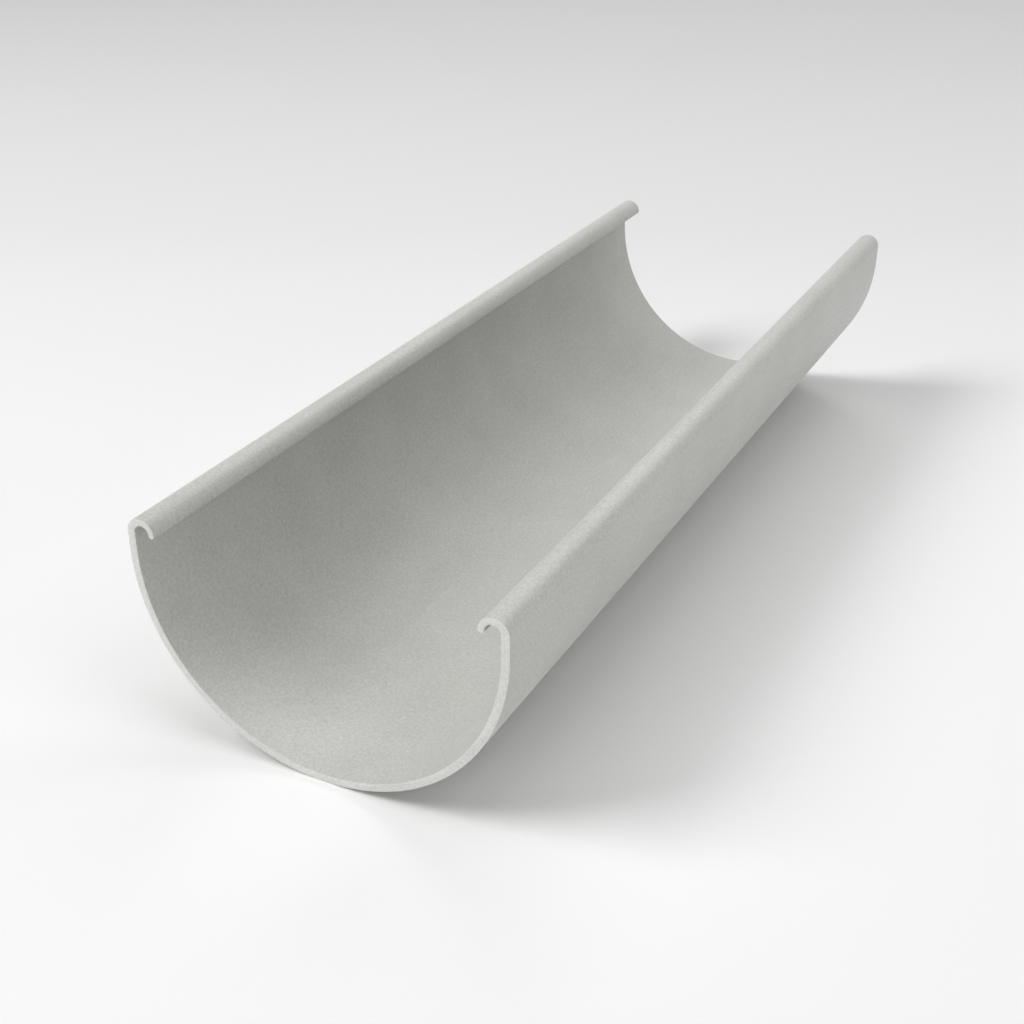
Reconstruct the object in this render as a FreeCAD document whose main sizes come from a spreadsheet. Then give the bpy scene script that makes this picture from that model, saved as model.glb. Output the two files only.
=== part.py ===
"""Half-round PVC eaves gutter, one cut length, with an inward curled lip along both top edges.

Frame: X across the gutter, Y along its length, Z up, millimetres. The origin is under the middle
of the length, on the line where the round bottom touches the ground.
"""
import FreeCAD, Part
import math
import os
import Sketcher

doc = FreeCAD.newDocument("gutter")

# Driving dimensions. The half-round's outer radius is half the outer width.
sizes = [
    ("outer_width", 112.0, "across the outer faces of the two side walls"),
    ("side_wall", 5.7, "upright stretch of wall between the half-round and the curled lip"),
    ("wall_thickness", 2.4, "half-round and side walls"),
    ("groove_width", 4.4, "clear width of the groove inside the curled lip"),
    ("tip_thickness", 1.8, "the lip thins from the wall towards its rounded tip"),
    ("overall_length", 320.0, "cut length between the two square saw cuts"),
]
sheet = doc.addObject("Spreadsheet::Sheet", "Sizes")
for row, (alias, value, note) in enumerate(sizes, start=1):
    sheet.set("A%d" % row, alias)
    sheet.set("B%d" % row, str(value))
    sheet.set("C%d" % row, note)
    sheet.setAlias("B%d" % row, alias)
doc.recompute()

body = doc.addObject("PartDesign::Body", "GutterBody")
body.Label = "gutter_section"


def origin_plane(role):
    return [f for f in body.Origin.OriginFeatures if f.Role == role][0]


# The section is drawn whole, on the plane across the gutter: sketch x is X, sketch y is Z.
section = body.newObject("Sketcher::SketchObject", "Section")
section.AttachmentSupport = [(origin_plane("XZ_Plane"), "")]
section.MapMode = "FlatFace"

half = sheet.outer_width / 2
wall = sheet.wall_thickness
groove = sheet.groove_width / 2
tip = sheet.tip_thickness / 2
curl = wall / 2 + groove + tip
curl_z = half + sheet.side_wall


def point(x, z):
    return FreeCAD.Vector(x, z, 0)


def arc(x, z, radius, start_deg, end_deg):
    """Arc drawn counter-clockwise about (x, z)."""
    circle = Part.Circle(point(x, z), FreeCAD.Vector(0, 0, 1), radius)
    start, end = math.radians(start_deg), math.radians(end_deg)
    return section.addGeometry(Part.ArcOfCircle(circle, start, end), False)


def line(x1, z1, x2, z2):
    return section.addGeometry(Part.LineSegment(point(x1, z1), point(x2, z2)), False)


def constrain(*args):
    return section.addConstraint(Sketcher.Constraint(*args))


def dimension(name, formula, *args):
    """Dimension that follows the sheet."""
    index = constrain(*args)
    section.renameConstraint(index, name)
    section.setExpression("Constraints." + name, formula)


START, END, CENTRE = range(1, 4)
ORIGIN = (-1, 1)  # the sketch's own origin, as a constraint names it

outer_round = arc(0, half, half, 180, 360)
inner_round = arc(0, half, half - wall, 180, 360)


def side(way):
    """One side wall with its curled lip: way is +1 on the right and -1 on the left.

    Every arc is stored counter-clockwise, so its start and its end change places with the side.
    """
    outer_x = way * half
    inner_x = way * (half - wall)
    first, last = (START, END) if way > 0 else (END, START)

    wall_out = line(outer_x, half, outer_x, curl_z)
    curl_out = arc(way * (half - curl), curl_z, curl, 0, 180)
    tip_arc = arc(way * (half - 2 * curl + tip), curl_z, tip, 180, 360)
    groove_arc = arc(way * (half - wall - groove), curl_z, groove, 0, 180)
    wall_in = line(inner_x, curl_z, inner_x, half)

    joints = [
        (outer_round, last, wall_out, START),
        (wall_out, END, curl_out, first),
        (curl_out, last, tip_arc, first),
        (tip_arc, last, groove_arc, last),
        (groove_arc, first, wall_in, START),
        (wall_in, END, inner_round, last),
    ]
    for one, one_end, other, other_end in joints:
        constrain("Tangent", one, one_end, other, other_end)
    for upright in (wall_out, wall_in):
        constrain("Vertical", upright)
    for other in (groove_arc, tip_arc):
        constrain("Horizontal", curl_out, CENTRE, other, CENTRE)
    return curl_out, groove_arc


curl_r, groove_r = side(+1)
curl_l, groove_l = side(-1)

# Both rounds share a centre on the Z axis, one outer radius above the origin.
constrain("PointOnObject", outer_round, CENTRE, -2)  # -2 is the sketch's upright axis
constrain("Coincident", inner_round, CENTRE, outer_round, CENTRE)
dimension("round_height", "Sizes.outer_width / 2", "DistanceY", *ORIGIN, outer_round, CENTRE, half)
dimension("outer_radius", "Sizes.outer_width / 2", "Radius", outer_round, half)
dimension("inner_radius", "Sizes.outer_width / 2 - Sizes.wall_thickness",
          "Radius", inner_round, half - wall)

# The left lip is the right one mirrored.
constrain("Equal", curl_r, curl_l)
constrain("Equal", groove_r, groove_l)
constrain("Horizontal", curl_l, CENTRE, curl_r, CENTRE)
curl_formula = "(Sizes.wall_thickness + Sizes.groove_width + Sizes.tip_thickness) / 2"
dimension("curl_radius", curl_formula, "Radius", curl_r, curl)
dimension("groove_radius", "Sizes.groove_width / 2", "Radius", groove_r, groove)
dimension("upright", "Sizes.side_wall",
          "DistanceY", outer_round, CENTRE, curl_r, CENTRE, sheet.side_wall)
doc.recompute()

# The length runs equally to both sides of the origin and ends in two square cuts.
length = body.newObject("PartDesign::Pad", "Length")
length.Profile = section
length.SideType = "Symmetric"
length.setExpression("Length", "Sizes.overall_length")
body.Tip = length
body.Placement = FreeCAD.Placement()
doc.recompute()

if section.solve() != 0 or section.FullyConstrained is not True:
    raise RuntimeError("the section sketch is not solved and fully constrained")
for obj in doc.Objects:
    if "Invalid" in obj.State or "Error" in obj.State:
        raise RuntimeError("failed: " + obj.Label)

os.makedirs("parts", exist_ok=True)
for piece in [body]:
    if piece.Shape.isNull() or not piece.Shape.isValid() or len(piece.Shape.Solids) != 1:
        raise RuntimeError("bad shape: " + piece.Label)
    piece.Shape.exportStep("parts/" + piece.Label + ".step")
    box = piece.Shape.BoundBox
    print("%s: %.2f x %.2f x %.2f mm, z from %.3f, volume %.0f mm3"
          % (piece.Label, box.XLength, box.YLength, box.ZLength, box.ZMin, piece.Shape.Volume))
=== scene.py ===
import math

import bpy
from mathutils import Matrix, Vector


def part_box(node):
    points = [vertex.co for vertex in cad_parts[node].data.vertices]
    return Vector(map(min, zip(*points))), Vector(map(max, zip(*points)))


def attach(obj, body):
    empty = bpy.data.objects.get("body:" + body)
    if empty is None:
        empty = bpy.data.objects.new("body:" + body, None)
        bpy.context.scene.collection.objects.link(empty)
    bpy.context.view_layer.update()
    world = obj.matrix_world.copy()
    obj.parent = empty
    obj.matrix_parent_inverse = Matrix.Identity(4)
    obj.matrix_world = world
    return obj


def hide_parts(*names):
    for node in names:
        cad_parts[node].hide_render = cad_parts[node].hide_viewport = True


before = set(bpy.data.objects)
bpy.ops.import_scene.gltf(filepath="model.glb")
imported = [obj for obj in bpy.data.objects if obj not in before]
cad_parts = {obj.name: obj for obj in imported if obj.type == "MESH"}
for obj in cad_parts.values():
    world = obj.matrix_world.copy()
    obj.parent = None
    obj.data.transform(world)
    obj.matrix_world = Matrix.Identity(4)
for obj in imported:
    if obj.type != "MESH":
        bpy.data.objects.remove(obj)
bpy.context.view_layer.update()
bpy.context.scene.view_settings.view_transform = "Standard"


def linear(hexColour):
    # sRGB hex to the linear colour that shader sockets take
    channels = [int(hexColour[i:i + 2], 16) / 255 for i in (1, 3, 5)]
    return tuple(c / 12.92 if c <= 0.04045 else ((c + 0.055) / 1.055) ** 2.4 for c in channels) + (1.0,)


def addNode(tree, kind, settings, links=None):
    # one node: settings name its properties, its sockets or a colour ramp's stops, and links
    # name the outputs that feed it
    node = tree.nodes.new(kind)
    for key, value in settings.items():
        if key == "stops":
            stops = node.color_ramp.elements
            while len(stops) < len(value):
                stops.new(0.5)
            for stop, (position, hexColour) in zip(stops, value):
                stop.position = position
                stop.color = linear(hexColour)
        elif isinstance(key, str) and hasattr(node, key):
            setattr(node, key, value)
        else:
            node.inputs[key].default_value = value
    for key, source in (links or {}).items():
        tree.links.new(source, node.inputs[key])
    return node


# the gutter takes its width, height and length from the CAD solid, and the rest from here
low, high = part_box("gutter_section")
gutter = {
    "wall": 0.0024,
    "groove": 0.0044,         # clear width inside the curled lip
    "tip": 0.0018,            # the lip thins towards its rounded tip
    "roundSteps": 96,         # steps round the half-round
    "curlSteps": 24,          # steps over each curled lip
    "tipSteps": 10,
    "mergeGap": 1e-6,
    "cutFacing": 0.9,         # a face turned this far along the gutter is a saw cut
    "rimBreak": 0.00015,      # the saw leaves the rims just off sharp
    "rimSteps": 2,
    "rimRoundness": 0.6,
    "smoothBelow": 35,        # degrees between faces that shade as one
}


def turn(x, z, degrees, steps):
    # turns the loose vertex about a line along the gutter, from +X towards +Z
    bpy.ops.mesh.spin(steps=steps, angle=math.radians(degrees), center=(x, low.y, z), axis=(0, 1, 0))


def pull(rise):
    bpy.ops.mesh.extrude_region_move(TRANSFORM_OT_translate={"value": (0, 0, rise)})


def drawLip(side, g, half, top):
    # the outside of one lip, its rounded tip and its groove, drawn away from the outside wall on
    # the right (side 1), and back to it on the left (side -1)
    curl = (g["wall"] + g["groove"] + g["tip"]) / 2
    curlZ = top - curl
    outside = (side * (half - curl), curlZ, 180, g["curlSteps"])
    tipTurn = (side * (half - 2 * curl + g["tip"] / 2), curlZ, 180, g["tipSteps"])
    grooveTurn = (side * (half - g["wall"] - g["groove"] / 2), curlZ, -180, g["curlSteps"])
    first, last = (outside, grooveTurn) if side > 0 else (grooveTurn, outside)
    turn(*first)
    turn(*tipTurn)
    turn(*last)


def makeGutter(g):
    half, length, top = high.x, high.y - low.y, high.z
    sideWall = top - (g["wall"] + g["groove"] + g["tip"]) / 2 - half
    bpy.ops.object.select_all(action="DESELECT")
    bpy.ops.mesh.primitive_plane_add(size=g["wall"], location=(0, low.y, low.z))
    piece = bpy.context.object
    piece.name = "gutterSection"
    bpy.ops.object.transform_apply(location=True, rotation=True, scale=True)
    bpy.ops.object.mode_set(mode="EDIT")
    bpy.ops.mesh.select_mode(type="VERT")
    bpy.ops.mesh.select_all(action="SELECT")
    bpy.ops.mesh.merge(type="CENTER")
    # one vertex walks round the section, from the middle of the outside and back to it
    turn(0, half, 90, g["roundSteps"] // 2)
    pull(sideWall)
    drawLip(1, g, half, top)
    pull(-sideWall)
    turn(0, half, -180, g["roundSteps"])
    pull(sideWall)
    drawLip(-1, g, half, top)
    pull(-sideWall)
    turn(0, half, 90, g["roundSteps"] // 2)
    bpy.ops.mesh.select_all(action="SELECT")
    bpy.ops.mesh.remove_doubles(threshold=g["mergeGap"])
    bpy.ops.mesh.edge_face_add()
    bpy.ops.mesh.extrude_region_move(TRANSFORM_OT_translate={"value": (0, length, 0)})
    bpy.ops.mesh.select_all(action="SELECT")
    bpy.ops.mesh.normals_make_consistent(inside=False)
    # the two saw cuts take the second material, and their rims are broken
    bpy.ops.mesh.select_mode(type="FACE")
    bpy.ops.mesh.select_all(action="DESELECT")
    bpy.ops.object.mode_set(mode="OBJECT")
    for face in piece.data.polygons:
        face.select = abs(face.normal.y) > g["cutFacing"]
        face.material_index = int(face.select)
    bpy.ops.object.mode_set(mode="EDIT")
    bpy.ops.mesh.region_to_loop()
    bpy.ops.mesh.bevel(offset=g["rimBreak"], segments=g["rimSteps"], profile=g["rimRoundness"],
                       clamp_overlap=False)
    bpy.ops.mesh.select_all(action="DESELECT")
    bpy.ops.object.mode_set(mode="OBJECT")
    bpy.ops.object.shade_smooth_by_angle(angle=math.radians(g["smoothBelow"]))
    return piece


pvc = {
    "tones": ((0.3, "#B0B1AC"), (0.5, "#BDBEB9"), (0.7, "#C9CAC5")),
    "speckSize": 0.0008,      # clusters of chalk filler: a single grain is too fine to draw
    "speckDetail": 3.0,
    "cloudSize": 0.025,
    "cloudDetail": 2.0,
    "cloudShare": 0.25,
    # marks that the die draws out along the length, wider apart than the real ones so that they show
    "drawSpacing": 0.0018,
    "drawLength": 0.2,
    "drawDetail": 2.0,
    "drawRange": (0.3, 0.7),  # what the marks' noise spans, from its lows to its highs
    "roughness": (0.4, 0.5),  # at those lows and highs
    "ior": 1.53,
    "skinDepth": 0.000009,
    "drawDepth": 0.00001,
}


def extrudedPvc(p):
    # the die leaves a satin skin: an even colour with specks of filler just under it, a faint
    # cloudiness, and fine marks drawn out along the length
    material = bpy.data.materials.new("extrudedPvcU")
    material.use_nodes = True
    tree = material.node_tree
    shader = tree.nodes["Principled BSDF"]
    shader.inputs["IOR"].default_value = p["ior"]
    place = addNode(tree, "ShaderNodeTexCoord", {}).outputs["Object"]
    # each pattern gets its own size from a mapping, so every noise stays at scale 1
    across, along = 1 / p["drawSpacing"], 1 / p["drawLength"]
    speckSpace = addNode(tree, "ShaderNodeMapping",
                         {"Scale": (1 / p["speckSize"],) * 3}, {"Vector": place})
    cloudSpace = addNode(tree, "ShaderNodeMapping",
                         {"Scale": (1 / p["cloudSize"],) * 3}, {"Vector": place})
    drawnSpace = addNode(tree, "ShaderNodeMapping",
                         {"Scale": (across, along, across)}, {"Vector": place})
    speck = addNode(tree, "ShaderNodeTexNoise", {"Scale": 1.0, "Detail": p["speckDetail"]},
                    {"Vector": speckSpace.outputs["Vector"]}).outputs["Fac"]
    cloud = addNode(tree, "ShaderNodeTexNoise", {"Scale": 1.0, "Detail": p["cloudDetail"]},
                    {"Vector": cloudSpace.outputs["Vector"]}).outputs["Fac"]
    drawn = addNode(tree, "ShaderNodeTexNoise", {"Scale": 1.0, "Detail": p["drawDetail"]},
                    {"Vector": drawnSpace.outputs["Vector"]}).outputs["Fac"]
    clouded = addNode(tree, "ShaderNodeMath", {"operation": "MULTIPLY", 1: p["cloudShare"]}, {0: cloud})
    specked = addNode(tree, "ShaderNodeMath", {"operation": "MULTIPLY_ADD", 1: 1 - p["cloudShare"]},
                      {0: speck, 2: clouded.outputs[0]})
    tone = addNode(tree, "ShaderNodeValToRGB", {"stops": p["tones"]}, {"Fac": specked.outputs[0]})
    tree.links.new(tone.outputs["Color"], shader.inputs["Base Color"])
    satin = addNode(tree, "ShaderNodeMapRange",
                    {"From Min": p["drawRange"][0], "From Max": p["drawRange"][1],
                     "To Min": p["roughness"][0], "To Max": p["roughness"][1]},
                    {"Value": drawn})
    tree.links.new(satin.outputs["Result"], shader.inputs["Roughness"])
    skin = addNode(tree, "ShaderNodeBump", {"Distance": p["skinDepth"]}, {"Height": speck})
    marks = addNode(tree, "ShaderNodeBump", {"Distance": p["drawDepth"]},
                    {"Height": drawn, "Normal": skin.outputs["Normal"]})
    tree.links.new(marks.outputs["Normal"], shader.inputs["Normal"])
    return material


sawCut = {
    # paler than the skin: partly the cut plastic's own tone, partly painted light for the end faces
    "tones": ((0.3, "#D0D1CD"), (0.5, "#DADBD7"), (0.7, "#E2E3E0")),
    "scuffSize": 0.0006,
    "scuffDetail": 4.0,
    "toothSpacing": 0.0007,   # wider than the real marks, so that they can be seen
    "toothWander": 1.5,
    "wanderScale": 2.0,
    "bladeCentre": (0.03, 0.0, -0.11),
    "roughness": 0.72,
    "ior": 1.53,
    "scuffDepth": 0.00003,
    "toothDepth": 0.00002,
}


def sawCutPvcWithPaintedLight(c):
    # the blade leaves the cut duller than the skin, with arcs of tooth marks and small scuffs; its
    # paler tone is partly the cut plastic's own, partly painted light standing in for front light on
    # the ends
    material = bpy.data.materials.new("sawCutPvcU")
    material.use_nodes = True
    tree = material.node_tree
    shader = tree.nodes["Principled BSDF"]
    shader.inputs["IOR"].default_value = c["ior"]
    shader.inputs["Roughness"].default_value = c["roughness"]
    place = addNode(tree, "ShaderNodeTexCoord", {}).outputs["Object"]
    scuffSpace = addNode(tree, "ShaderNodeMapping",
                         {"Scale": (1 / c["scuffSize"],) * 3}, {"Vector": place})
    scuff = addNode(tree, "ShaderNodeTexNoise", {"Scale": 1.0, "Detail": c["scuffDetail"]},
                    {"Vector": scuffSpace.outputs["Vector"]}).outputs["Fac"]
    tone = addNode(tree, "ShaderNodeValToRGB", {"stops": c["tones"]}, {"Fac": scuff})
    tree.links.new(tone.outputs["Color"], shader.inputs["Base Color"])
    fromBlade = addNode(tree, "ShaderNodeVectorMath",
                        {"operation": "SUBTRACT", 1: c["bladeCentre"]}, {0: place})
    # a ring pattern's own step is 2 pi / 20 of a unit
    tooth = addNode(tree, "ShaderNodeTexWave",
                    {"wave_type": "RINGS", "rings_direction": "Y",
                     "Scale": math.pi / 10 / c["toothSpacing"],
                     "Distortion": c["toothWander"], "Detail Scale": c["wanderScale"]},
                    {"Vector": fromBlade.outputs["Vector"]}).outputs["Fac"]
    scuffs = addNode(tree, "ShaderNodeBump", {"Distance": c["scuffDepth"]}, {"Height": scuff})
    teeth = addNode(tree, "ShaderNodeBump", {"Distance": c["toothDepth"]},
                    {"Height": tooth, "Normal": scuffs.outputs["Normal"]})
    tree.links.new(teeth.outputs["Normal"], shader.inputs["Normal"])
    return material


print("modelling the gutter")
section = makeGutter(gutter)
print("giving the plastic its finish")
section.data.materials.append(extrudedPvc(pvc))
section.data.materials.append(sawCutPvcWithPaintedLight(sawCut))
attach(section, "root")
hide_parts("gutter_section")

view = {
    "place": (0.1866, -0.4124, 0.2479),
    "tilt": 61.67,            # degrees up from looking straight down
    "turn": 27.27,            # degrees left of the gutter's own length
    "lens": 51.87,
    "sensor": 36,
    "nearest": 0.01,
}

studio = {
    "floorSize": 3.2,
    # painted shade: the paper darkens towards the back in place of the lamps' light falling off
    "paintedShadeTones": ((0.0, "#F7F7F7"), (0.25, "#F5F5F5"), (0.37, "#F0F0F0"), (0.45, "#EAEAEA"),
                   (0.6, "#E6E6E6"), (0.8, "#E1E1E1"), (1.0, "#DFDFDF")),
    "paintedShadeRun": (-0.25, 1.05),   # where those tones start and end, from front to back
    "paperRoughness": 0.9,
    "roomColour": "#FFFFFF",
}

# soft lamps round the gutter: where each hangs, its width and height in metres, and its watts
softboxes = {
    "key": {"place": (-1.34, -1.17, 1.9), "size": (1.3, 1.3), "power": 43.5},
    "top": {"place": (0, -0.15, 2.6), "size": (1.6, 1.6), "power": 13.0},
    "rightTop": {"place": (1.6, -0.2, 2.04), "size": (1.4, 1.4), "power": 11.0},
    "back": {"place": (0, 1.74, 1.93), "size": (2.4, 1.1), "power": 18.0},
    "frontFill": {"place": (0, -2.5, 0.72), "size": (2.4, 1.2), "power": 9.5},
    "rightFill": {"place": (2.5, 0, 0.72), "size": (2.6, 1.2), "power": 6.0},
    "rightLow": {"place": (2.4, 0, 0.22), "size": (2.6, 0.4), "power": 8.0},
}


def mattPaperWithPaintedShade(s, turnDegrees):
    # a roll of matt paper with hardly any gloss; its tone deepens towards the back as painted shade,
    # standing in for the lamps' light falling off, laid along the camera's heading
    material = bpy.data.materials.new("mattPaperWithPaintedShade")
    material.use_nodes = True
    tree = material.node_tree
    shader = tree.nodes["Principled BSDF"]
    shader.inputs["Roughness"].default_value = s["paperRoughness"]
    place = addNode(tree, "ShaderNodeTexCoord", {}).outputs["Object"]
    back = (-math.sin(math.radians(turnDegrees)), math.cos(math.radians(turnDegrees)), 0)
    depth = addNode(tree, "ShaderNodeVectorMath", {"operation": "DOT_PRODUCT", 1: back}, {0: place})
    run = addNode(tree, "ShaderNodeMapRange",
                  {"From Min": s["paintedShadeRun"][0], "From Max": s["paintedShadeRun"][1]},
                  {"Value": depth.outputs["Value"]})
    tone = addNode(tree, "ShaderNodeValToRGB", {"stops": s["paintedShadeTones"]},
                   {"Fac": run.outputs["Result"]})
    tree.links.new(tone.outputs["Color"], shader.inputs["Base Color"])
    return material


def hangSoftbox(name, s):
    # every softbox looks at the middle of the floor under the gutter
    lamp = bpy.data.objects.new(name + "Softbox", bpy.data.lights.new(name + "Softbox", "AREA"))
    bpy.context.scene.collection.objects.link(lamp)
    lamp.data.shape = "RECTANGLE"
    lamp.data.size, lamp.data.size_y = s["size"]
    lamp.data.energy = s["power"]
    lamp.location = s["place"]
    lamp.rotation_euler = (-lamp.location).to_track_quat("-Z", "Y").to_euler()


print("laying the floor and hanging the lamps")
bpy.ops.object.select_all(action="DESELECT")
bpy.ops.mesh.primitive_plane_add(size=studio["floorSize"], location=(0, 0, low.z))
floor = bpy.context.object
floor.name = "studioFloor"
floor.data.materials.append(mattPaperWithPaintedShade(studio, view["turn"]))

for name, softbox in softboxes.items():
    hangSoftbox(name, softbox)

# the pale room gives no light of its own: it only shows in reflections and past the floor
world = bpy.data.worlds.new("studioWorld")
bpy.context.scene.world = world
world.use_nodes = True
room = world.node_tree.nodes["Background"]
room.inputs["Color"].default_value = linear(studio["roomColour"])
rays = addNode(world.node_tree, "ShaderNodeLightPath", {})
seen = addNode(world.node_tree, "ShaderNodeMath", {"operation": "MAXIMUM"},
               {0: rays.outputs["Is Camera Ray"], 1: rays.outputs["Is Glossy Ray"]})
world.node_tree.links.new(seen.outputs[0], room.inputs["Strength"])

print("placing the camera")
camera = bpy.data.objects.new("camera", bpy.data.cameras.new("camera"))
bpy.context.scene.collection.objects.link(camera)
camera.location = view["place"]
camera.rotation_euler = (math.radians(view["tilt"]), 0, math.radians(view["turn"]))
camera.data.lens = view["lens"]
camera.data.sensor_width = view["sensor"]
camera.data.clip_start = view["nearest"]
bpy.context.scene.camera = camera
